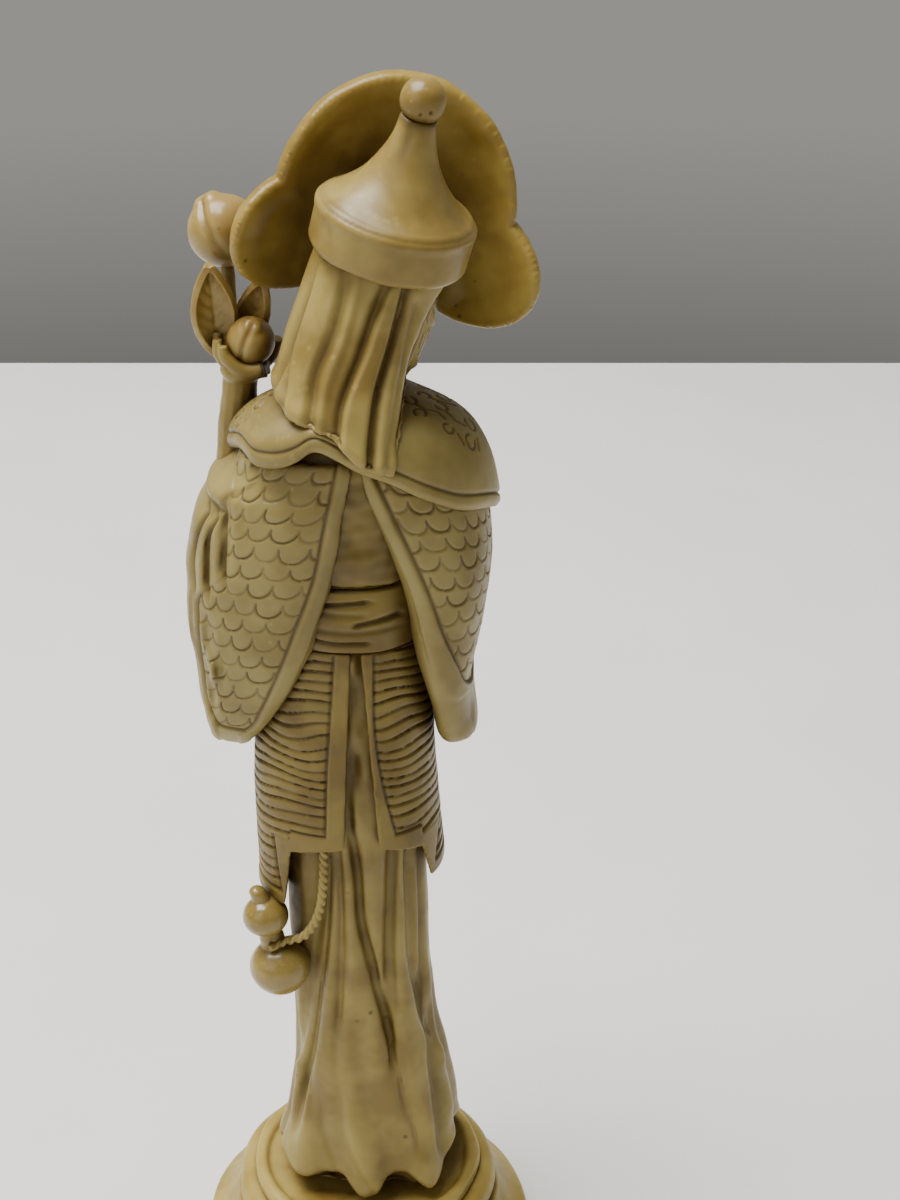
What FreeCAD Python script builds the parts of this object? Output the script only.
import FreeCAD, Part
import math
import os
import Sketcher
from FreeCAD import Placement, Rotation, Vector

# Standing robed figure in a trefoil hat, on a round stepped base.
# Millimetres, +Z up, origin in the middle of the base's underside. The figure faces -Y,
# its own left hand, which is raised, is on the +X side.

doc = FreeCAD.newDocument("okimono")
sheet = doc.addObject("Spreadsheet::Sheet", "Sizes")

SIZES = (
    # Base, in three turned tiers
    ("plinth_radius", 28.0),
    ("plinth_top_radius", 22.6),
    ("plinth_height", 7.5),
    ("plinth_edge_height", 1.2),
    ("plinth_flare_radius", 11.0),
    ("middle_tier_radius", 22.2),
    ("middle_tier_height", 5.0),
    ("middle_tier_round", 2.2),
    ("upper_tier_radius", 19.4),
    ("upper_tier_height", 2.5),
    ("upper_tier_round", 0.9),
    ("dish_rim_width", 2.0),
    ("dish_depth", 0.8),
    # Dowels and pegs
    ("dowel_radius", 2.5),
    ("base_dowel_length", 32.0),
    ("waist_dowel_length", 34.0),
    ("pin_radius", 1.5),
    ("neck_dowel_length", 16.0),
    ("hat_dowel_length", 17.0),
    ("shoulder_dowel_length", 9.0),
    ("peg_radius", 0.8),
    ("finial_peg_length", 5.0),
    ("wrist_peg_length", 7.0),
    ("gourd_peg_length", 5.0),
    ("bore_clearance", 0.05),
    # Robe, sash and panels
    ("robe_half_width", 17.0),
    ("robe_half_depth", 14.0),
    ("skirt_length", 105.2),
    ("panel_thickness", 1.8),
    ("panel_length", 46.0),
    ("right_flap_length", 41.8),
    ("sash_height", 11.0),
    ("apron_half_width", 5.0),
    ("apron_length", 72.0),
    ("apron_thickness", 1.3),
    ("knot_half_width", 4.2),
    ("knot_half_height", 3.2),
    ("knot_half_depth", 2.4),
    ("ribbon_width", 2.6),
    ("ribbon_length", 40.0),
    ("ribbon_thickness", 1.1),
    # Upper body
    ("shoulder_half_width", 20.8),
    ("torso_height", 25.6),
    ("sleeve_length", 49.5),
    ("sleeve_overlap", 6.0),
    ("cape_height", 14.0),
    ("cape_thickness", 1.3),
    ("collar_height", 4.4),
    # Head and hat, in the head's own tilted frame
    ("head_half_width", 7.5),
    ("head_half_depth", 8.7),
    ("head_height", 21.3),
    ("neck_radius", 4.3),
    ("neck_length", 7.0),
    ("head_yaw", 8.0),
    ("head_lean", 12.5),
    ("head_tilt_back", 8.0),
    ("band_radius", 11.0),
    ("band_height", 6.7),
    ("band_round", 0.9),
    ("crown_radius", 10.6),
    ("crown_neck_radius", 2.4),
    ("crown_height", 13.0),
    ("crown_curve_radius", 17.0),
    ("finial_radius", 3.0),
    ("finial_seat", 0.6),
    ("brim_gap", 0.4),
    ("brim_thickness", 2.2),
    ("brim_curve_radius", 30.0),
    ("brim_main_radius", 16.4),
    ("brim_lobe_radius", 9.05),
    ("brim_lobe_spread", 12.6),
    ("brim_lobe_offset", -1.0),
    ("veil_fullness", 2.6),
    ("veil_length", 29.0),
    # Hands and what they hold
    ("wrist_radius", 2.4),
    ("left_forearm_length", 18.0),
    ("palm_radius", 4.2),
    ("held_peach_radius", 3.5),
    ("upper_peach_radius", 5.2),
    ("stem_radius", 0.9),
    ("leaf_thickness", 1.2),
    ("leaf_length", 14.0),
    ("leaf_half_width", 3.0),
    # Gourd on its cord
    ("gourd_lower_radius", 4.9),
    ("gourd_upper_radius", 3.6),
    ("gourd_waist_radius", 1.9),
    ("gourd_lean", 11.0),
    ("stopper_radius", 1.3),
    ("stopper_height", 3.2),
    ("cord_radius", 0.8),
)

# Sizes that follow from the driving ones, kept in the sheet so that sketches can use them
DERIVED = (
    ("middle_tier_foot", "=plinth_height"),
    ("upper_tier_foot", "=plinth_height + middle_tier_height"),
    ("base_height", "=plinth_height + middle_tier_height + upper_tier_height"),
    ("robe_foot", "=base_height - dish_depth"),
    ("dish_radius", "=upper_tier_radius - dish_rim_width"),
    ("waist_level", "=robe_foot + skirt_length"),
    ("torso_foot", "=waist_level + sash_height"),
    ("shoulder_level", "=torso_foot + torso_height"),
    ("base_dowel_foot", "=plinth_height / 2"),
    ("waist_dowel_foot", "=waist_level + sash_height / 2 - waist_dowel_length / 2"),
    ("dowel_bore", "=dowel_radius + bore_clearance"),
    ("pin_bore", "=pin_radius + bore_clearance"),
    ("peg_bore", "=peg_radius + bore_clearance"),
    ("band_top", "=head_height + band_height"),
    ("crown_top", "=head_height + band_height + crown_height"),
    ("finial_level", "=crown_top + finial_radius - finial_seat"),
)


def fill_sheet():
    """Write every size into the sheet under its own name."""
    row = 0
    for name, content in SIZES + DERIVED:
        row += 1
        sheet.set("A%d" % row, name)
        sheet.set("B%d" % row, str(content))
        sheet.setAlias("B%d" % row, name)
    doc.recompute()


fill_sheet()


def size(name):
    """One number from the sheet."""
    return float(sheet.get(name))


SUBPARTS = []


def keep(obj, label):
    """Name a finished sub-part, which also names its file."""
    obj.Label = label
    SUBPARTS.append(obj)
    return obj


def bind(obj, **formulas):
    """Tie an object's properties to the sheet."""
    for prop, formula in formulas.items():
        obj.setExpression(prop, formula)
    return obj


def free_shape(label, shape):
    """A sub-part, or a tool, whose shape comes from lofts through its own sections."""
    obj = doc.addObject("Part::Feature", label)
    obj.Shape = shape
    return obj


# Frames of the parts that stand at an angle

def head_frame():
    """The head's frame: its foot is the base of the neck, its Z runs up through the hat."""
    foot = Vector(-0.045 * size("shoulder_half_width"), 0, size("shoulder_level") + size("collar_height") * 0.11)
    turn = Rotation(size("head_yaw"), -size("head_lean"), -size("head_tilt_back"))
    return Placement(foot, turn)


HEAD = head_frame()


# Turned and padded bodies

def body_plane(body, role):
    for feature in body.Origin.OriginFeatures:
        if feature.Role == role:
            return feature
    raise ValueError(role)


def outline_sketch(body, name, role, corners, arcs):
    """A closed outline. Each corner is a pair of sheet names (None is zero) and arcs gives, by
    the number of the edge's first corner, the sheet name of a radius and the side it bulges to."""
    sketch = body.newObject("Sketcher::SketchObject", name)
    sketch.AttachmentSupport = [(body_plane(body, role), "")]
    sketch.MapMode = "FlatFace"
    spots = [Vector(size(across) if across else 0, size(up) if up else 0, 0) for across, up in corners]
    count = len(spots)
    starts, ends = {}, {}
    for edge in range(count):
        begin, finish = spots[edge], spots[(edge + 1) % count]
        if edge in arcs:
            radius_name, side = arcs[edge]
            radius = size(radius_name)
            chord = finish - begin
            half = chord.Length / 2
            across = Vector(chord.y, -chord.x, 0).normalize() * side
            rise = radius - math.sqrt(max(radius ** 2 - half ** 2, 0))
            middle = (begin + finish) / 2 + across * rise
            index = sketch.addGeometry(Part.Arc(begin, middle, finish), False)
            sketch.addConstraint(Sketcher.Constraint("Radius", index, radius))
            sketch.setExpression("Constraints[%d]" % (sketch.ConstraintCount - 1), "Sizes." + radius_name)
            first = sketch.getPoint(index, 1)
            swapped = (first - begin).Length > (first - finish).Length
            starts[edge], ends[edge] = ((index, 2), (index, 1)) if swapped else ((index, 1), (index, 2))
        else:
            index = sketch.addGeometry(Part.LineSegment(begin, finish), False)
            starts[edge], ends[edge] = (index, 1), (index, 2)
    for edge in range(count):
        follower = (edge + 1) % count
        sketch.addConstraint(Sketcher.Constraint("Coincident", *(ends[edge] + starts[follower])))
    for edge, (across, up) in enumerate(corners):
        place_point(sketch, starts[edge], "DistanceX", across, -2)
        place_point(sketch, starts[edge], "DistanceY", up, -1)
    return sketch


def place_point(sketch, point, kind, name, axis):
    """Fix one coordinate of a sketch point to a size in the sheet, or to the axis for zero."""
    if name is None:
        sketch.addConstraint(Sketcher.Constraint("PointOnObject", point[0], point[1], axis))
        return
    sketch.addConstraint(Sketcher.Constraint(kind, -1, 1, point[0], point[1], size(name)))
    sketch.setExpression("Constraints[%d]" % (sketch.ConstraintCount - 1), "Sizes." + name)


def turned_body(label, corners, arcs):
    """A body turned about its own Z from an outline in its XZ plane."""
    body = doc.addObject("PartDesign::Body", label)
    sketch = outline_sketch(body, label + "_profile", "XZ_Plane", corners, arcs)
    turn = body.newObject("PartDesign::Revolution", label + "_turn")
    turn.Profile = sketch
    turn.ReferenceAxis = (sketch, ["V_Axis"])
    turn.Angle = 360
    body.Tip = turn
    doc.recompute()
    return body


def round_rims(body, label, radius_name, pick):
    """Round the circular edges that pick accepts."""
    base = body.Tip
    names = []
    for number, edge in enumerate(base.Shape.Edges, 1):
        if isinstance(edge.Curve, Part.Circle) and pick(edge.Curve.Center.z, edge.Curve.Radius):
            names.append("Edge%d" % number)
    fillet = body.newObject("PartDesign::Fillet", label + "_round")
    fillet.Base = (base, names)
    bind(fillet, Radius="Sizes." + radius_name)
    body.Tip = fillet
    doc.recompute()


def base_tiers():
    """Flared plinth, rounded middle tier and dished upper tier, each bored for the dowel."""
    plinth = turned_body(
        "base_plinth",
        ((None, None), ("plinth_radius", None), ("plinth_radius", "plinth_edge_height"),
         ("plinth_top_radius", "plinth_height"), ("dowel_bore", "plinth_height"),
         ("dowel_bore", "base_dowel_foot"), (None, "base_dowel_foot")),
        {2: ("plinth_flare_radius", -1)})
    keep(plinth, "base_plinth")
    middle = turned_body(
        "base_middle_tier",
        (("dowel_bore", "middle_tier_foot"), ("middle_tier_radius", "middle_tier_foot"),
         ("middle_tier_radius", "upper_tier_foot"), ("dowel_bore", "upper_tier_foot")), {})
    rim = size("middle_tier_radius")
    round_rims(middle, "base_middle_tier", "middle_tier_round", lambda level, radius: radius > rim * 0.99)
    keep(middle, "base_middle_tier")
    upper = turned_body(
        "base_upper_tier",
        (("dowel_bore", "upper_tier_foot"), ("upper_tier_radius", "upper_tier_foot"),
         ("upper_tier_radius", "base_height"), ("dish_radius", "base_height"),
         ("dish_radius", "robe_foot"), ("dowel_bore", "robe_foot")), {})
    top = size("base_height")
    edge = size("upper_tier_radius")
    round_rims(upper, "base_upper_tier", "upper_tier_round",
               lambda level, radius: radius > edge * 0.99 and abs(level - top) < size("dish_depth"))
    keep(upper, "base_upper_tier")


def hat_parts():
    """Drum band, hollow-curved crown and ball of the hat, turned about the head's axis."""
    band = turned_body(
        "hat_band",
        (("pin_bore", "head_height"), ("band_radius", "head_height"),
         ("band_radius", "band_top"), ("pin_bore", "band_top")), {})
    rim = size("band_radius")
    round_rims(band, "hat_band", "band_round", lambda level, radius: radius > rim * 0.99)
    band.Placement = HEAD
    keep(band, "hat_band")
    crown = turned_body(
        "hat_crown_turned",
        ((None, "band_top"), ("crown_radius", "band_top"),
         ("crown_neck_radius", "crown_top"), (None, "crown_top")),
        {1: ("crown_curve_radius", -1)})
    crown.Placement = HEAD
    bore_low = bored_hole("hat_crown_bore", "pin_bore", "head_height",
                          "hat_dowel_length * 3 / 4 + bore_clearance", HEAD)
    bore_high = bored_hole("hat_finial_bore", "peg_bore", "crown_top - finial_peg_length / 2",
                           "finial_peg_length", HEAD)
    cut = doc.addObject("Part::Cut", "hat_crown_drilled")
    cut.Base = crown
    cut.Tool = bore_low
    crown_done = doc.addObject("Part::Cut", "hat_crown_done")
    crown_done.Base = cut
    crown_done.Tool = bore_high
    keep(crown_done, "hat_crown")
    ball = doc.addObject("Part::Sphere", "hat_ball")
    bind(ball, Radius="Sizes.finial_radius")
    ball.Placement = HEAD.multiply(Placement(Vector(0, 0, size("finial_level")), Rotation()))
    seat = doc.addObject("Part::Cut", "hat_ball_seat")
    seat.Base = ball
    seat.Tool = crown
    finial = doc.addObject("Part::Cut", "hat_finial_done")
    finial.Base = seat
    finial.Tool = bored_hole("hat_ball_bore", "peg_bore", "crown_top - finial_peg_length / 2",
                             "finial_peg_length", HEAD)
    keep(finial, "hat_finial")


# Dowels and pegs, and the bores for them

def frame_at(frame, level):
    """A frame moved up its own Z."""
    return frame.multiply(Placement(Vector(0, 0, level), Rotation()))


def level_of(formula):
    """The value of a sum of sheet names with plain + - / terms, kept as a hidden cell."""
    level_of.count += 1
    cell = "D%d" % level_of.count
    sheet.set(cell, "=" + formula)
    doc.recompute()
    return float(sheet.get(cell))


level_of.count = 0


def bored_hole(label, radius_name, foot, length, frame):
    """A drill: a cylinder standing on a frame's axis."""
    drill = doc.addObject("Part::Cylinder", label)
    bind(drill, Radius="Sizes." + radius_name, Height="(%s) * 1 mm" % sheet_terms(length))
    drill.Placement = frame_at(frame, level_of(foot))
    return drill


def sheet_terms(formula):
    """Prefix each sheet name in a formula with the sheet's own name."""
    words = formula.replace("(", "( ").replace(")", " )").split()
    return " ".join("Sizes." + word if word[0].isalpha() else word for word in words)


def dowel(label, radius_name, length_name, frame, foot):
    """A round dowel or peg standing on a frame's axis."""
    pin = doc.addObject("Part::Cylinder", label)
    bind(pin, Radius="Sizes." + radius_name, Height="Sizes." + length_name)
    pin.Placement = frame_at(frame, foot)
    return keep(pin, label)


# Sections of the carved cloth

STEPS = 24
FOLDED_STEPS = 64
FOLD_FADE = 0.06
FULL_TURN = 2 * math.pi


def squared(value, power):
    """A sine or cosine pushed towards a fuller, squarer section."""
    return math.copysign(abs(value) ** (2 / power), value)


def oval(level, right, left, back, front, power=2.2, middle=(0, 0), slope=(0, 0), steps=STEPS):
    """A closed section across the figure: reach to each side, tilted by slope in X and Y."""
    points = []
    for step in range(steps):
        angle = FULL_TURN * step / steps
        across = squared(math.cos(angle), power)
        along = squared(math.sin(angle), power)
        across *= left if across > 0 else right
        along *= back if along > 0 else front
        spot_x, spot_y = middle[0] + across, middle[1] + along
        points.append(Vector(spot_x, spot_y, level + slope[0] * spot_x + slope[1] * spot_y))
    return points


def slanted_oval(level, inner, outer, back, front, slant, power=2.7, steps=STEPS):
    """A full section whose back slopes forward from the spine side to the outer side."""
    middle_x, half = (inner + outer) / 2, (outer - inner) / 2
    middle_y, deep = (back + front) / 2, (back - front) / 2
    points = []
    for step in range(steps):
        angle = FULL_TURN * step / steps
        out = squared(math.cos(angle), power)
        points.append(Vector(middle_x + half * out, middle_y + deep * squared(math.sin(angle), power) - slant * out,
                             level))
    return points


def bell(away, half_width):
    """The hollow of a fold across its line: 1 on the line, 0 from its half width outwards."""
    return 0.5 + 0.5 * math.cos(math.pi * min(abs(away) / half_width, 1))


def fold_depth(fold, share):
    """How deep a fold is at a share of the height: full in the middle of its run, 0 at its ends."""
    run = fold[2]
    inside = min(share - run[0][0], run[-1][0] - share)
    return fold[1] * max(0, min(inside / FOLD_FADE, 1))


def smooth_loop(points):
    curve = Part.BSplineCurve()
    curve.interpolate(points, PeriodicFlag=True)
    return Part.Wire([curve.toShape()])


def even_loop(points):
    """A closed smooth curve with even knots: finely folded sections then loft as one clean face."""
    curve = Part.BSplineCurve()
    steps = range(len(points) + 1)
    curve.interpolate(Points=points, PeriodicFlag=True, Parameters=[step / len(points) for step in steps])
    return Part.Wire([curve.toShape()])


def loft(sections, loop=smooth_loop):
    """A solid through closed smooth sections, flat at both ends."""
    return Part.makeLoft([loop(section) for section in sections], True, False)


def largest(shape):
    """The main solid of a cut, without the crumbs that a cut can leave."""
    return max(shape.Solids, key=lambda solid: solid.Volume)


def between(rows, share):
    """A row of a table at any share of its height, read in straight lines between rows."""
    for low, high in zip(rows, rows[1:]):
        if share <= high[0]:
            part = (share - low[0]) / (high[0] - low[0])
            return [a + (b - a) * part for a, b in zip(low, high)]
    return list(rows[-1])


def prism(corners, depth_low, depth_high):
    """A slab whose outline is drawn in X and Z, from one depth in Y to another."""
    outline = [Vector(across, depth_low, up) for across, up in corners]
    face = Part.Face(Part.makePolygon(outline + outline[:1]))
    return face.extrude(Vector(0, depth_high - depth_low, 0))


def drill_shape(radius_name, frame, foot, length):
    """The bore for a dowel, as a bare shape."""
    drill = Part.makeCylinder(size(radius_name), length)
    drill.Placement = frame_at(frame, foot)
    return drill


UPRIGHT = Placement()

# Height share of the skirt, then reach to the right, left, back and front as shares
SKIRT_SHARES = (
    (0.000, 0.88, 0.76, 0.80, 0.86),
    (0.021, 0.99, 0.84, 0.93, 1.00),
    (0.055, 1.00, 0.86, 0.93, 1.00),
    (0.122, 0.95, 0.77, 0.87, 0.95),
    (0.207, 0.84, 0.68, 0.79, 0.87),
    (0.307, 0.72, 0.66, 0.73, 0.78),
    (0.416, 0.65, 0.66, 0.70, 0.72),
    (0.578, 0.62, 0.68, 0.70, 0.70),
    (0.700, 0.64, 0.72, 0.73, 0.71),
    (0.844, 0.64, 0.72, 0.74, 0.71),
    (1.000, 0.60, 0.66, 0.72, 0.70),
)

# How far the panels stand off the skirt, in panel thicknesses
PANEL_SHARES = (
    (0.560, 1.6, 2.6, 1.4, 1.2),
    (0.700, 1.1, 2.2, 1.3, 1.1),
    (0.803, 0.7, 2.0, 1.2, 0.9),
    (0.900, 0.7, 1.5, 1.0, 0.8),
    (1.000, 0.6, 0.9, 0.9, 0.6),
)


def robe_reach(share):
    """The skirt's reach to the right, left, back and front at a share of its height."""
    row = between(SKIRT_SHARES, share)
    wide, deep = size("robe_half_width"), size("robe_half_depth")
    return row[1] * wide, row[2] * wide, row[3] * deep, row[4] * deep


def panel_reach(share):
    """The reach of the panels' outside at a share of the skirt's height."""
    stand = between(PANEL_SHARES, share)[1:]
    thick = size("panel_thickness")
    return [reach + off * thick for reach, off in zip(robe_reach(share), stand)]


def skirt_level(share):
    return size("robe_foot") + share * size("skirt_length")


# Folds of the skirt: half width and depth in millimetres, then shares of its height with the
# bearing of the fold's line there, in degrees from +X towards the back
SKIRT_FOLDS = (
    (1.5, 1.0, ((0.28, 67), (0.37, 71), (0.47, 73), (0.58, 75), (0.68, 74))),
    (1.7, 1.3, ((0.28, 117), (0.37, 110), (0.45, 102), (0.53, 94), (0.62, 91), (0.70, 86))),
    (1.9, 1.5, ((0.06, 138), (0.09, 135), (0.17, 130), (0.24, 124), (0.32, 119), (0.47, 118), (0.70, 123))),
    (1.7, 1.3, ((0.24, 174), (0.28, 170), (0.36, 149), (0.45, 142), (0.56, 140), (0.70, 140))),
    (2.2, 1.7, ((0.08, 27), (0.12, 28), (0.20, 30), (0.26, 37), (0.37, 46), (0.45, 51), (0.53, 57), (0.70, 63))),
    (2.0, 1.2, ((0.05, 320), (0.15, 312), (0.29, 307), (0.44, 304), (0.68, 303))),
    (2.0, 1.2, ((0.05, 220), (0.15, 227), (0.28, 230), (0.44, 233), (0.68, 237))),
    (1.8, 1.1, ((0.06, 340), (0.26, 345), (0.44, 348), (0.68, 351))),
    (1.8, 1.1, ((0.05, 202), (0.25, 197), (0.42, 191), (0.68, 188))),
)
FOLDED_LEVELS = (0, 0.021, 0.055, 0.088, 0.122, 0.165, 0.207, 0.257, 0.307, 0.36, 0.416, 0.47, 0.524,
                 0.578, 0.64, 0.70, 0.77, 0.844, 0.90, 0.95, 1)


def folded_section(share):
    """The skirt's section at a share of its height, with its folds pressed in."""
    points = oval(skirt_level(share), *robe_reach(share), steps=FOLDED_STEPS)
    for fold in SKIRT_FOLDS:
        depth = fold_depth(fold, share)
        if not depth:
            continue
        line = between(fold[2], share)[1]
        for place, point in enumerate(points):
            off_axis = math.hypot(point.x, point.y)
            turned = (math.degrees(math.atan2(point.y, point.x)) - line + 180) % 360 - 180
            hollow = depth * bell(math.radians(turned) * off_axis, fold[0])
            points[place] = Vector(point.x * (1 - hollow / off_axis), point.y * (1 - hollow / off_axis), point.z)
    return points


def folded_skirt():
    """Long underskirt with its main folds, unbored: it flares to the hem and stands in the dish
    of the base."""
    return loft([folded_section(share) for share in FOLDED_LEVELS], even_loop)


def panel_outline(side, waist_gap, hem_gap, length):
    """The outline of a panel seen from behind: a slanting inner edge, a short back hem and a
    longer flap at the side."""
    wide = size("robe_half_width")
    foot = size("waist_level") - length
    hem = size("waist_level") - size("panel_length") * 0.73
    reach = side * wide
    return ((waist_gap * wide, size("waist_level")), (hem_gap * wide, hem), (reach * 0.60, hem * 0.98),
            (reach * 0.68, foot), (reach * 1.3, foot), (reach * 1.3, size("waist_level")))


def panel_envelope():
    """The outside of the pleated panels as one solid, skirt and all."""
    return loft([oval(skirt_level(row[0]), *panel_reach(row[0])) for row in PANEL_SHARES])


def panels(outside, skirt):
    """Pleated panels over the skirt, left and right, open at the middle of the back."""
    shell = outside.cut(skirt)
    deep = 2 * size("robe_half_depth")
    left_outline = panel_outline(1, 0.01, 0.11, size("panel_length"))
    right_outline = panel_outline(-1, -0.09, -0.22, size("right_flap_length"))
    left = shell.common(prism(left_outline, -deep, deep))
    right = shell.common(prism(right_outline, -deep, deep))
    return largest(left), largest(right)


FRONT_ROWS = 5


def front_reach(level):
    """How far the skirt, or the panels over it, come forward at a level."""
    share = (level - size("robe_foot")) / size("skirt_length")
    return panel_reach(share)[3] if share > PANEL_SHARES[0][0] else robe_reach(share)[3]


def front_strip(top, length, half_width, stand, thickness, middle):
    """A flat hanging strip in front of the skirt, at a stand-off from it."""
    sections = []
    for step in range(FRONT_ROWS + 1):
        level = top - length * step / FRONT_ROWS
        near = -front_reach(level) - stand if stand else -front_reach(level) / 2
        far = -front_reach(level) - stand - thickness
        corners = (Vector(middle - half_width, near, level), Vector(middle + half_width, near, level),
                   Vector(middle + half_width, far, level), Vector(middle - half_width, far, level))
        sections.append(Part.makePolygon(corners + corners[:1]))
    return Part.makeLoft(sections, True, True)


# Height share of the sash, then reach to the right, left, back and front as shares
SASH_SHARES = (
    (0.0, 0.640, 0.70, 0.810, 0.757),
    (0.5, 0.665, 0.72, 0.857, 0.786),
    (1.0, 0.635, 0.68, 0.820, 0.743),
)


def sash_envelope():
    """Wide sash: a drum between the skirt and the upper body, uncut."""
    wide, deep = size("robe_half_width"), size("robe_half_depth")
    sections = [oval(size("waist_level") + row[0] * size("sash_height"),
                     row[1] * wide, row[2] * wide, row[3] * deep, row[4] * deep) for row in SASH_SHARES]
    return loft(sections)


def knot():
    """Tied knot of the sash in front, and its two hanging ribbon ends."""
    deep = size("robe_half_depth")
    lump = Part.makeSphere(size("knot_half_height"))
    grow = FreeCAD.Matrix()
    grow.scale(size("knot_half_width") / size("knot_half_height"),
               size("knot_half_depth") / size("knot_half_height"), 1)
    lump = lump.transformGeometry(grow)
    middle = size("waist_level") + size("sash_height") * 0.45
    lump.translate(Vector(0, -SASH_SHARES[1][4] * deep - size("knot_half_depth") / 2, middle))
    offset = size("knot_half_width") * 0.45
    ends = []
    for side, share in ((-1, 1.0), (1, 0.86)):
        ends.append(front_strip(size("waist_level"), size("ribbon_length") * share, size("ribbon_width") / 2,
                                size("apron_thickness"), size("ribbon_thickness"), side * offset))
    return lump, ends


# Upper body

TORSO_SHARES = (
    (0.00, 0.53, 0.55, 0.81, 0.72),
    (0.29, 0.61, 0.60, 0.86, 0.75),
    (0.59, 0.77, 0.67, 0.90, 0.75),
    (0.78, 0.72, 0.59, 0.86, 0.69),
    (0.93, 0.53, 0.44, 0.66, 0.54),
    (1.00, 0.34, 0.31, 0.46, 0.39),
)


def torso_envelope():
    """Chest and back, from the sash to the neck, uncut."""
    wide, deep = size("shoulder_half_width"), size("robe_half_depth")
    sections = [oval(size("torso_foot") + row[0] * size("torso_height"),
                     row[1] * wide, row[2] * wide, row[3] * deep, row[4] * deep) for row in TORSO_SHARES]
    return loft(sections)


# Share down the sleeve, inner and outer side in X, back, front and slant in Y, as shares
LEFT_SLEEVE_SHARES = (
    (0.000, -0.05, 0.64, 0.86, -0.16, 0.20),
    (0.060, -0.09, 0.78, 0.91, -0.30, 0.22),
    (0.160, -0.03, 1.01, 0.93, -0.66, 0.28),
    (0.280, 0.01, 1.13, 0.91, -0.71, 0.30),
    (0.400, 0.08, 1.19, 0.88, -0.68, 0.30),
    (0.525, 0.16, 1.20, 0.84, -0.64, 0.28),
    (0.646, 0.26, 1.19, 0.79, -0.57, 0.25),
    (0.768, 0.40, 1.15, 0.71, -0.46, 0.21),
    (0.889, 0.59, 1.12, 0.59, -0.29, 0.14),
    (0.960, 0.70, 1.08, 0.46, -0.11, 0.07),
    (1.000, 0.82, 1.00, 0.32, 0.06, 0.04),
)
RIGHT_SLEEVE_SHARES = (
    (0.000, 0.02, -0.74, 0.86, -0.20, 0.16),
    (0.060, -0.04, -0.84, 0.90, -0.26, 0.18),
    (0.160, -0.14, -0.94, 0.92, -0.34, 0.20),
    (0.280, -0.25, -0.99, 0.91, -0.54, 0.20),
    (0.400, -0.34, -1.00, 0.89, -0.78, 0.20),
    (0.525, -0.40, -0.97, 0.86, -0.93, 0.21),
    (0.646, -0.44, -0.92, 0.81, -0.82, 0.18),
    (0.768, -0.52, -0.86, 0.74, -0.64, 0.14),
    (0.889, -0.58, -0.87, 0.59, -0.39, 0.11),
    (0.960, -0.61, -0.88, 0.46, -0.18, 0.07),
    (1.000, -0.67, -0.82, 0.32, 0.00, 0.04),
)


# Folds at the back of the left sleeve, that run down from its mouth: half width and depth in
# millimetres, then shares down the sleeve with the fold's place in X there, in half widths
LEFT_SLEEVE_FOLDS = (
    (1.2, 1.0, ((0.10, 0.81), (0.27, 0.86), (0.40, 0.865))),
    (1.2, 1.0, ((0.14, 0.88), (0.24, 0.96), (0.34, 0.985), (0.46, 0.99))),
    (1.1, 0.9, ((0.16, 0.95), (0.32, 1.08), (0.38, 1.11), (0.56, 1.12), (0.75, 1.105), (0.91, 1.085))),
)
SLEEVE_LEVELS = (0, 0.06, 0.11, 0.16, 0.22, 0.28, 0.34, 0.40, 0.46, 0.525, 0.646, 0.768, 0.889, 0.96, 1)


def sleeve_top():
    return size("shoulder_level") - size("sleeve_overlap")


def sleeve_section(rows, folds, down):
    """A sleeve's section at a share down its length, with the folds at its back pressed in."""
    wide, deep = size("shoulder_half_width"), size("robe_half_depth")
    inner, outer, back, front, slant = between(rows, down)[1:]
    level = sleeve_top() - down * size("sleeve_length")
    points = slanted_oval(level, inner * wide, outer * wide, back * deep, front * deep, slant * deep,
                          steps=FOLDED_STEPS if folds else STEPS)
    middle_y = (back + front) / 2 * deep
    for fold in folds:
        depth = fold_depth(fold, down)
        if not depth:
            continue
        line = between(fold[2], down)[1] * wide
        for place, point in enumerate(points):
            if point.y > middle_y:
                points[place] = point - Vector(0, depth * bell(point.x - line, fold[0]), 0)
    return points


def sleeve(rows, folds, neighbours):
    """A wide sleeve that hangs beside the body, cut to lie against what is inside it."""
    if folds:
        solid = loft([sleeve_section(rows, folds, down) for down in SLEEVE_LEVELS], even_loop)
    else:
        solid = loft([sleeve_section(rows, folds, row[0]) for row in rows])
    return largest(solid.cut(neighbours))


# Share of the cape's height above its rim, reach right, left, back and front, share of the tilt
CAPE_SHARES = (
    (0.00, 1.00, 0.88, 1.10, 0.94, 1.0),
    (0.10, 1.02, 0.89, 1.11, 0.95, 1.0),
    (0.45, 0.97, 0.82, 1.06, 0.92, 0.7),
    (0.72, 0.84, 0.67, 0.94, 0.82, 0.4),
    (0.90, 0.58, 0.47, 0.72, 0.64, 0.2),
    (1.00, 0.36, 0.33, 0.52, 0.46, 0.0),
)
CAPE_TILT = (0.24, 0.42)


def cape_envelope():
    """Short shoulder cape whose rim falls towards the right shoulder and the front, uncut."""
    wide, deep = size("shoulder_half_width"), size("robe_half_depth")
    top = size("shoulder_level") + size("cape_thickness")
    sections = []
    for up, right, left, back, front, tilt in CAPE_SHARES:
        level = top - (1 - up) * size("cape_height")
        sections.append(oval(level, right * wide, left * wide, back * deep, front * deep, 2.1,
                             (-0.02 * wide, 0.02 * deep), (tilt * CAPE_TILT[0], tilt * CAPE_TILT[1])))
    return loft(sections)


def collar(neighbours):
    """Crossed inner collar that stands round the foot of the neck."""
    ring = Part.makeCone(size("neck_radius") * 1.35, size("neck_radius") * 1.2, size("collar_height"))
    ring.Placement = frame_at(HEAD, -size("collar_height") * 0.2)
    return largest(ring.cut(neighbours))


# Head and hat

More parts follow.
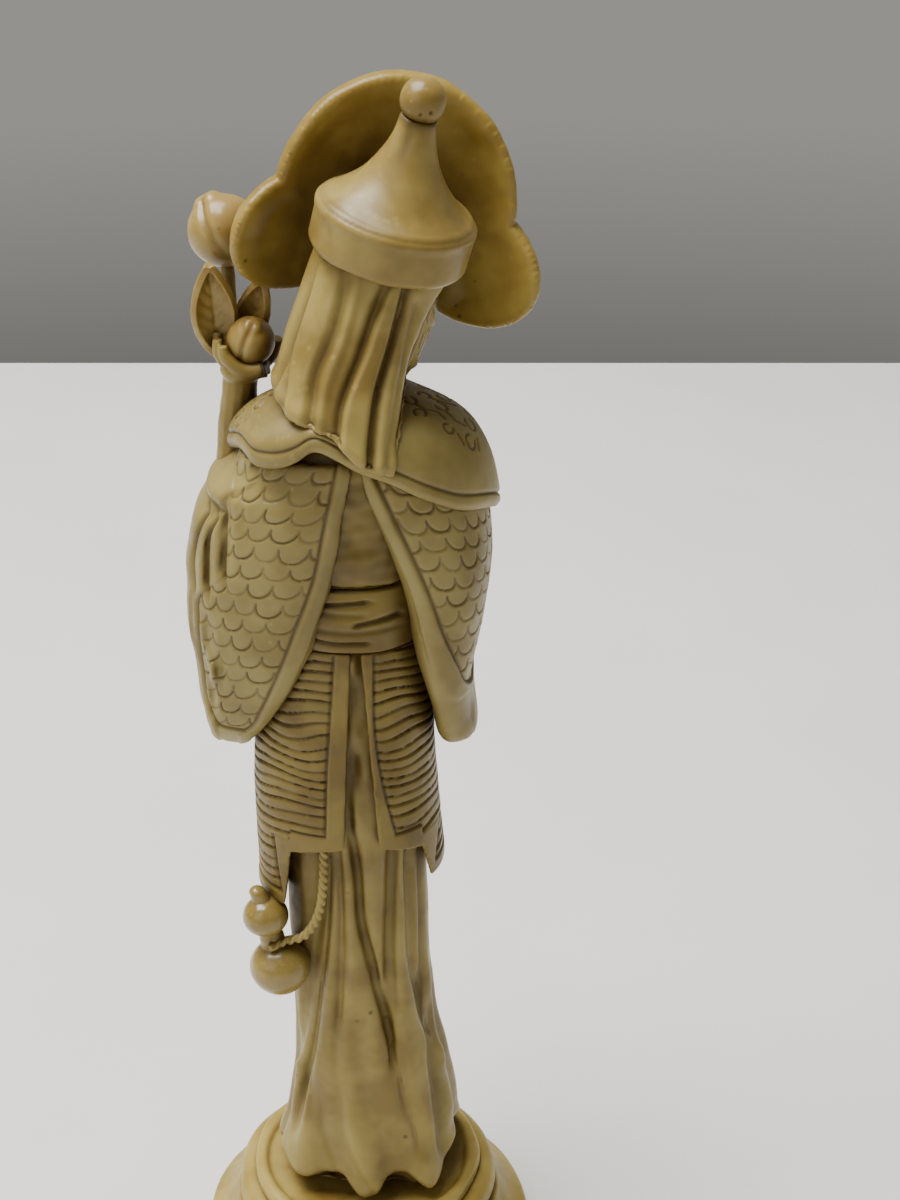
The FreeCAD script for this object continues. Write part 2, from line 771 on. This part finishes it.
# Share of the head's height, then half width, depth behind and depth in front as shares
HEAD_SHARES = (
    (-0.33, 0.62, 0.52, 0.50),
    (0.00, 0.60, 0.52, 0.56),
    (0.10, 0.66, 0.66, 0.84),
    (0.30, 0.90, 0.86, 0.96),
    (0.55, 1.00, 0.98, 1.00),
    (0.80, 0.98, 0.96, 0.97),
    (1.00, 0.86, 0.84, 0.86),
)


def head_solid():
    """Head and neck in one carving; the top is cut flat for the hat band."""
    wide, deep = size("head_half_width"), size("head_half_depth")
    sections = []
    for up, side, behind, before in HEAD_SHARES:
        sections.append(oval(up * size("head_height"), side * wide, side * wide, behind * deep, before * deep, 2.0))
    solid = loft(sections)
    solid.Placement = HEAD
    return solid


def brim_outline():
    """Trefoil outline of the turned-up brim: a large middle lobe and two side lobes, with an
    arch over the brow. Drawn in the head frame, X across and Z up."""
    lobe = size("brim_lobe_radius")
    spread = size("brim_lobe_spread")
    main = size("brim_main_radius")
    lobe_up = size("head_height") - size("band_height") * 0.42
    main_up = size("band_top") - size("band_height") * 0.33
    brow = size("head_height") - size("band_height") * 0.3
    middle = Vector(size("brim_lobe_offset"), 0, 0)
    notch = Vector(main, 0, main_up)
    lobe_side = Vector(spread + lobe * 0.97, 0, lobe_up)
    lobe_foot = Vector(spread - lobe * 0.30, 0, lobe_up - lobe * 0.95)
    corner = Vector(-notch.x, 0, notch.z)
    far_side = Vector(-lobe_side.x, 0, lobe_side.z)
    far_foot = Vector(-lobe_foot.x, 0, lobe_foot.z)
    arcs = (
        (notch, Vector(0, 0, main_up + main), corner),
        (corner, far_side, far_foot),
        (far_foot, Vector(0, 0, brow), lobe_foot),
        (lobe_foot, lobe_side, notch),
    )
    return Part.Wire([Part.Arc(*[middle + point for point in arc]).toShape() for arc in arcs])


def brim():
    """The brim is a trefoil cut from a plate that curves round the front of the hat."""
    inner = size("brim_curve_radius")
    thick = size("brim_thickness")
    middle_y = inner - size("band_radius") - size("brim_gap")
    height = 2 * size("crown_top")
    shell = Part.makeCylinder(inner + thick, height).cut(Part.makeCylinder(inner, height))
    shell.translate(Vector(0, middle_y, 0))
    slab = Part.Face(brim_outline()).extrude(Vector(0, -2 * inner, 0))
    plate = shell.common(slab)
    plate.Placement = HEAD
    return plate


# Veil: share of its length up from the foot, middle X and Y, then reach in X and Y, as shares
VEIL_SHARES = (
    (0.00, 0.00, 0.64, 1.12, 1.16),
    (0.30, -0.03, 0.50, 1.12, 1.14),
    (0.55, -0.12, 0.32, 1.02, 1.06),
    (0.80, -0.34, 0.20, 0.99, 1.00),
    (1.05, -0.55, 0.15, 0.94, 0.94),
)


def veil(neighbours):
    """Veil that falls from under the band over the back of the head to the shoulders."""
    full = size("head_half_width") + size("veil_fullness")
    foot = size("shoulder_level") - size("collar_height") * 2
    sections = []
    for up, middle_x, middle_y, wide, deep in VEIL_SHARES:
        sections.append(oval(foot + up * size("veil_length"), wide * full, wide * full,
                             deep * full, deep * full, 2.0, (middle_x * full, middle_y * full)))
    whole = loft(sections)
    length = size("veil_length")
    corners = ((1.6, 1.2), (1.6, 0.52), (1.04, 0.43), (0.75, 0.34), (0.16, 0.29), (-0.25, 0.15),
               (-0.67, 0.085), (-0.82, 0.30), (-1.02, 0.66), (-1.8, 0.80), (-1.8, 1.2))
    outline = [(across * full, foot + up * length) for across, up in corners]
    kept = whole.common(prism(outline, 0, 4 * full))
    above = Part.makeCylinder(4 * full, length)
    above.Placement = frame_at(HEAD, size("head_height"))
    return largest(kept.cut([above] + neighbours))


# Hands and what they hold

def hand_spot(across, depth, above):
    """A place by the shoulders: X and Y as shares of the body's reach, Z above the shoulder."""
    return Vector(across * size("shoulder_half_width"), depth * size("robe_half_depth"),
                  size("shoulder_level") + above)


LEFT_PALM = hand_spot(0.77, -0.34, size("palm_radius") * 0.79)
LEFT_ELBOW = hand_spot(0.86, -0.42, -size("left_forearm_length") * 0.70)
PEACH_HELD = LEFT_PALM + Vector(-size("held_peach_radius") * 0.55, 0, size("held_peach_radius") * 0.62)
PEACH_HIGH = hand_spot(0.86, -0.80, size("upper_peach_radius") * 3.9)
RIGHT_PALM = hand_spot(-0.38, -0.98, -size("torso_height") * 1.16)
RIGHT_WRIST = RIGHT_PALM + Vector(-size("palm_radius") * 1.7, size("palm_radius"), 0)


def tapered(start, finish, start_radius, end_radius):
    """A round limb or stem between two places."""
    span = finish - start
    return Part.makeCone(start_radius, end_radius, span.Length, start, span)


def left_hand():
    """Raised forearm, standing in the sleeve, and the hand that cups the lower peach."""
    arm = tapered(LEFT_ELBOW, LEFT_PALM, size("wrist_radius") * 1.15, size("wrist_radius"))
    return Part.makeSphere(size("palm_radius"), LEFT_PALM).fuse(arm)


def right_hand():
    """Right hand laid on the front of the sash, its wrist inside the sleeve."""
    arm = tapered(RIGHT_WRIST, RIGHT_PALM, size("wrist_radius") * 1.15, size("wrist_radius"))
    return Part.makeSphere(size("palm_radius") * 0.8, RIGHT_PALM).fuse(arm)


def peach(label, radius_name, middle):
    """A round peach at its place."""
    ball = doc.addObject("Part::Sphere", label)
    bind(ball, Radius="Sizes." + radius_name)
    ball.Placement = Placement(middle, Rotation())
    doc.recompute()
    return ball


def bored_peach(middle, stem):
    """The upper peach, bored where its stem goes in."""
    ball = peach("upper_peach_ball", "upper_peach_radius", middle)
    cut = doc.addObject("Part::Cut", "upper_peach_bored")
    cut.Base = ball
    cut.Tool = free_shape("upper_peach_bore", stem)
    return cut


def leaf(foot, lean, length, half_width):
    """A pointed leaf that rises from its foot, thin in its own Y."""
    thick = size("leaf_thickness")
    rise = Part.Arc(Vector(0, 0, 0), Vector(half_width, 0, length * 0.45), Vector(0, 0, length)).toShape()
    fall = Part.Arc(Vector(0, 0, length), Vector(-half_width, 0, length * 0.45), Vector(0, 0, 0)).toShape()
    blade = Part.Face(Part.Wire([rise, fall])).extrude(Vector(0, thick, 0))
    blade.translate(Vector(0, -thick / 2, 0))
    blade.Placement = Placement(foot, Rotation(Vector(0, 1, 0), lean))
    return blade


# Gourd and its cord

GOURD_SHARE = 0.398


def gourd_frame():
    """The gourd hangs beside the skirt, leaning outwards from its foot."""
    reach = robe_reach(GOURD_SHARE)
    foot = Vector(reach[1] + size("gourd_lower_radius") * 0.14, reach[2] * 0.81, skirt_level(GOURD_SHARE))
    return Placement(foot, Rotation(Vector(0, 1, 0), size("gourd_lean")))


def gourd_waist_up():
    return size("gourd_lower_radius") * 2.08


def gourd_top_up():
    return gourd_waist_up() + size("gourd_upper_radius") * 2.25


def gourd(frame):
    """Bottle gourd turned about its axis: two round bulbs joined at a narrow waist."""
    lower, upper = size("gourd_lower_radius"), size("gourd_upper_radius")
    top = gourd_top_up()
    waist = Vector(size("gourd_waist_radius"), 0, gourd_waist_up())
    neck = Vector(size("stopper_radius"), 0, top)
    outline = Part.Wire([
        Part.Arc(Vector(0, 0, 0), Vector(lower, 0, lower), waist).toShape(),
        Part.Arc(waist, Vector(upper, 0, waist.z + upper * 1.3), neck).toShape(),
        Part.LineSegment(neck, Vector(0, 0, top)).toShape(),
        Part.LineSegment(Vector(0, 0, top), Vector(0, 0, 0)).toShape(),
    ])
    solid = Part.Face(outline).revolve(Vector(0, 0, 0), Vector(0, 0, 1), 360)
    solid.Placement = frame
    return solid


# The cord's places: share of the robe's half width, of its half depth, and of the skirt's height
CORD_SHARES = (
    (0.290, 0.770, 0.690),
    (0.305, 0.745, 0.615),
    (0.360, 0.725, 0.555),
    (0.500, 0.700, 0.512),
)


def cord_path(frame):
    """From under the left panel's hem, down the skirt and across to the gourd's waist."""
    spots = [Vector(across * size("robe_half_width"), along * size("robe_half_depth"), skirt_level(up))
             for across, along, up in CORD_SHARES]
    return spots + [frame.multVec(Vector(0, 0, gourd_waist_up()))]


def round_cord(points, radius):
    """A carved cord: straight runs joined by tangent arcs, swept with a round section."""
    edges = []
    begin = points[0]
    for before, corner, after in zip(points, points[1:], points[2:]):
        arrive, leave = corner - before, after - corner
        turn = arrive.getAngle(leave)
        reach = 0.45 * min(arrive.Length, leave.Length)
        arrive.normalize()
        leave.normalize()
        start, finish = corner - arrive * reach, corner + leave * reach
        inward = (leave - arrive).normalize()
        bend = reach / math.tan(turn / 2)
        middle = corner + inward * (math.sqrt(bend ** 2 + reach ** 2) - bend)
        edges.append(Part.LineSegment(begin, start).toShape())
        edges.append(Part.Arc(start, middle, finish).toShape())
        begin = finish
    edges.append(Part.LineSegment(begin, points[-1]).toShape())
    section = Part.Wire([Part.Circle(points[0], points[1] - points[0], radius).toShape()])
    return Part.Wire(edges).makePipeShell([section], True, True)


# Assembly

def bored(shape, *bores):
    """A shape with the bores for its dowels, the main solid only."""
    return largest(shape.cut(list(bores)))


def across_frame(side, share, level):
    """A frame whose Z runs outwards to one side, for the shoulder dowels."""
    start = Vector(side * share * size("shoulder_half_width"), 0, level)
    return Placement(start, Rotation(Vector(0, 1, 0), side * 90))


def body_parts():
    """Skirt, panels, sash, torso, sleeves, cape and head, each cut to lie against the next."""
    outside, skirt = panel_envelope(), folded_skirt()
    sash_block, chest, shoulders = sash_envelope(), torso_envelope(), cape_envelope()
    head, palm, right_palm = head_solid(), left_hand(), right_hand()
    peach_low = peach("held_peach", "held_peach_radius", PEACH_HELD)

    base_length = size("base_dowel_foot") + size("base_dowel_length") - size("robe_foot")
    base_bore = drill_shape("dowel_bore", UPRIGHT, size("robe_foot"), base_length)
    waist_bore = drill_shape("dowel_bore", UPRIGHT, size("waist_dowel_foot"), size("waist_dowel_length"))
    neck_foot = -(size("neck_dowel_length") + size("neck_length")) / 2
    neck_bore = drill_shape("pin_bore", HEAD, neck_foot, size("neck_dowel_length"))
    hat_foot = size("head_height") - size("hat_dowel_length") / 4
    hat_bore = drill_shape("pin_bore", HEAD, hat_foot, size("hat_dowel_length"))
    shoulder_up = size("shoulder_level") - size("torso_height") * 0.53
    left_axis = across_frame(1, 0.43, shoulder_up)
    right_axis = across_frame(-1, 0.48, shoulder_up)
    left_bore = drill_shape("pin_bore", left_axis, 0, size("shoulder_dowel_length"))
    right_bore = drill_shape("pin_bore", right_axis, 0, size("shoulder_dowel_length"))
    wrist_frame = Placement(LEFT_ELBOW - Vector(0, 0, size("wrist_peg_length") / 2), Rotation())
    wrist_bore = drill_shape("peg_bore", wrist_frame, 0, size("wrist_peg_length"))
    reach = RIGHT_WRIST - RIGHT_PALM
    cuff_frame = Placement(RIGHT_WRIST - reach * 0.4, Rotation(Vector(0, 0, 1), reach))
    cuff_bore = drill_shape("peg_bore", cuff_frame, 0, size("wrist_peg_length"))

    left_panel, right_panel = panels(outside, skirt)
    inner = [chest, sash_block, outside]
    left_sleeve = sleeve(LEFT_SLEEVE_SHARES, LEFT_SLEEVE_FOLDS, inner)
    right_sleeve = sleeve(RIGHT_SLEEVE_SHARES, (), inner)
    cape = largest(shoulders.cut([chest, left_sleeve, right_sleeve, head, palm]))
    neck_collar = collar([head, shoulders, chest])
    veil_shape = veil([head, shoulders, neck_collar, left_sleeve, right_sleeve])
    apron = front_strip(size("waist_level"), size("apron_length"), size("apron_half_width"),
                        0, size("apron_thickness"), 0).cut(skirt).cut([left_panel, right_panel])
    lump, ends = knot()

    free_parts = (
        ("robe_skirt", bored(skirt, base_bore, waist_bore)),
        ("left_panel", left_panel),
        ("right_panel", right_panel),
        ("front_apron", largest(apron)),
        ("waist_sash", bored(sash_block, waist_bore)),
        ("sash_knot", largest(lump.cut([sash_block, chest]))),
        ("left_ribbon", largest(ends[1].cut([lump, apron]))),
        ("right_ribbon", largest(ends[0].cut([lump, apron]))),
        ("torso", bored(chest, waist_bore, head, neck_bore, left_bore, right_bore)),
        ("left_sleeve", bored(left_sleeve, palm, left_bore, wrist_bore)),
        ("right_sleeve", bored(right_sleeve, right_palm, right_bore, cuff_bore)),
        ("shoulder_cape", cape),
        ("neck_collar", neck_collar),
        ("head", bored(head, neck_bore, hat_bore)),
        ("veil", veil_shape),
        ("hat_brim", brim()),
        ("left_hand", bored(palm, peach_low.Shape, wrist_bore)),
        ("right_hand", bored(right_palm, sash_block, chest, lump, cuff_bore)),
    )
    for label, shape in free_parts:
        keep(free_shape(label, shape), label)
    keep(peach_low, "held_peach")
    dowel("neck_dowel", "pin_radius", "neck_dowel_length", HEAD, neck_foot)
    dowel("hat_dowel", "pin_radius", "hat_dowel_length", HEAD, hat_foot)
    dowel("left_shoulder_dowel", "pin_radius", "shoulder_dowel_length", left_axis, 0)
    dowel("right_shoulder_dowel", "pin_radius", "shoulder_dowel_length", right_axis, 0)
    dowel("left_wrist_peg", "peg_radius", "wrist_peg_length", wrist_frame, 0)
    dowel("right_wrist_peg", "peg_radius", "wrist_peg_length", cuff_frame, 0)
    return skirt, left_panel, palm, peach_low.Shape


def held_parts(palm, peach_low):
    """Stem and two leaves that rise from the raised hand, and the upper peach on the stem."""
    stem_foot = LEFT_PALM + Vector(size("palm_radius") * 0.4, -size("palm_radius") * 0.4, size("palm_radius") * 0.5)
    toward = (stem_foot - PEACH_HIGH).normalize()
    stem = tapered(stem_foot, PEACH_HIGH + toward * (size("upper_peach_radius") * 0.6),
                   size("stem_radius"), size("stem_radius") * 0.75)
    keep(bored_peach(PEACH_HIGH, stem), "upper_peach")
    keep(free_shape("peach_stem", largest(stem.cut([palm, peach_low]))), "peach_stem")
    big_foot = LEFT_PALM + Vector(size("palm_radius") * 0.75, -size("palm_radius") * 0.35, 0)
    big = leaf(big_foot, 4, size("leaf_length"), size("leaf_half_width"))
    keep(free_shape("large_leaf", largest(big.cut([palm, peach_low, stem]))), "large_leaf")
    small_foot = LEFT_PALM + Vector(-size("palm_radius") * 0.1, -size("palm_radius") * 0.8, 0)
    small = leaf(small_foot, -24, size("leaf_length") * 0.78, size("leaf_half_width") * 0.8)
    keep(free_shape("small_leaf", largest(small.cut([palm, peach_low, stem, big]))), "small_leaf")


def gourd_parts(skirt, left_panel):
    """Gourd pegged against the skirt, its stopper, and the cord that ties its waist."""
    frame = gourd_frame()
    inward = Placement(frame.multVec(Vector(0, 0, size("gourd_lower_radius"))),
                       Rotation(Vector(0, 0, 1), Vector(-1, -size("robe_half_depth") / size("robe_half_width"), 0)))
    peg_start = size("gourd_lower_radius") * 0.4
    bore = drill_shape("peg_bore", inward, peg_start, size("gourd_peg_length"))
    body = largest(gourd(frame).cut([skirt, left_panel]))
    cord = round_cord(cord_path(frame), size("cord_radius"))
    keep(free_shape("gourd", bored(body, bore)), "gourd")
    keep(free_shape("gourd_cord", largest(cord.cut([body, left_panel, skirt]))), "gourd_cord")
    plug = doc.addObject("Part::Cone", "gourd_stopper")
    bind(plug, Radius1="Sizes.stopper_radius", Radius2="Sizes.stopper_radius * 0.55",
         Height="Sizes.stopper_height")
    plug.Placement = frame_at(frame, gourd_top_up())
    keep(plug, "gourd_stopper")
    dowel("gourd_peg", "peg_radius", "gourd_peg_length", inward, peg_start)
    robe = next(obj for obj in SUBPARTS if obj.Label == "robe_skirt")
    robe.Shape = robe.Shape.cut(bore)


def build():
    """Make every sub-part, from the base up."""
    base_tiers()
    dowel("base_dowel", "dowel_radius", "base_dowel_length", UPRIGHT, size("base_dowel_foot"))
    dowel("waist_dowel", "dowel_radius", "waist_dowel_length", UPRIGHT, size("waist_dowel_foot"))
    skirt, left_panel, palm, peach_low = body_parts()
    held_parts(palm, peach_low)
    gourd_parts(skirt, left_panel)
    hat_parts()
    dowel("finial_peg", "peg_radius", "finial_peg_length", HEAD,
          size("crown_top") - size("finial_peg_length") / 2)


def write_parts():
    """Stop on any failed object, then write each sub-part to its own file."""
    doc.recompute()
    for obj in doc.Objects:
        if "Invalid" in obj.State or "Error" in obj.State:
            raise RuntimeError("%s failed: %s" % (obj.Name, obj.State))
    for obj in SUBPARTS:
        if obj.Shape.isNull() or not obj.Shape.isValid() or not obj.Shape.Solids:
            raise RuntimeError("%s has no valid solid" % obj.Label)
    os.makedirs("parts", exist_ok=True)
    for obj in SUBPARTS:
        obj.Shape.exportStep("parts/%s.step" % obj.Label)
        print("%-20s solids %d volume %8.1f" % (obj.Label, len(obj.Shape.Solids), obj.Shape.Volume))


build()
write_parts()
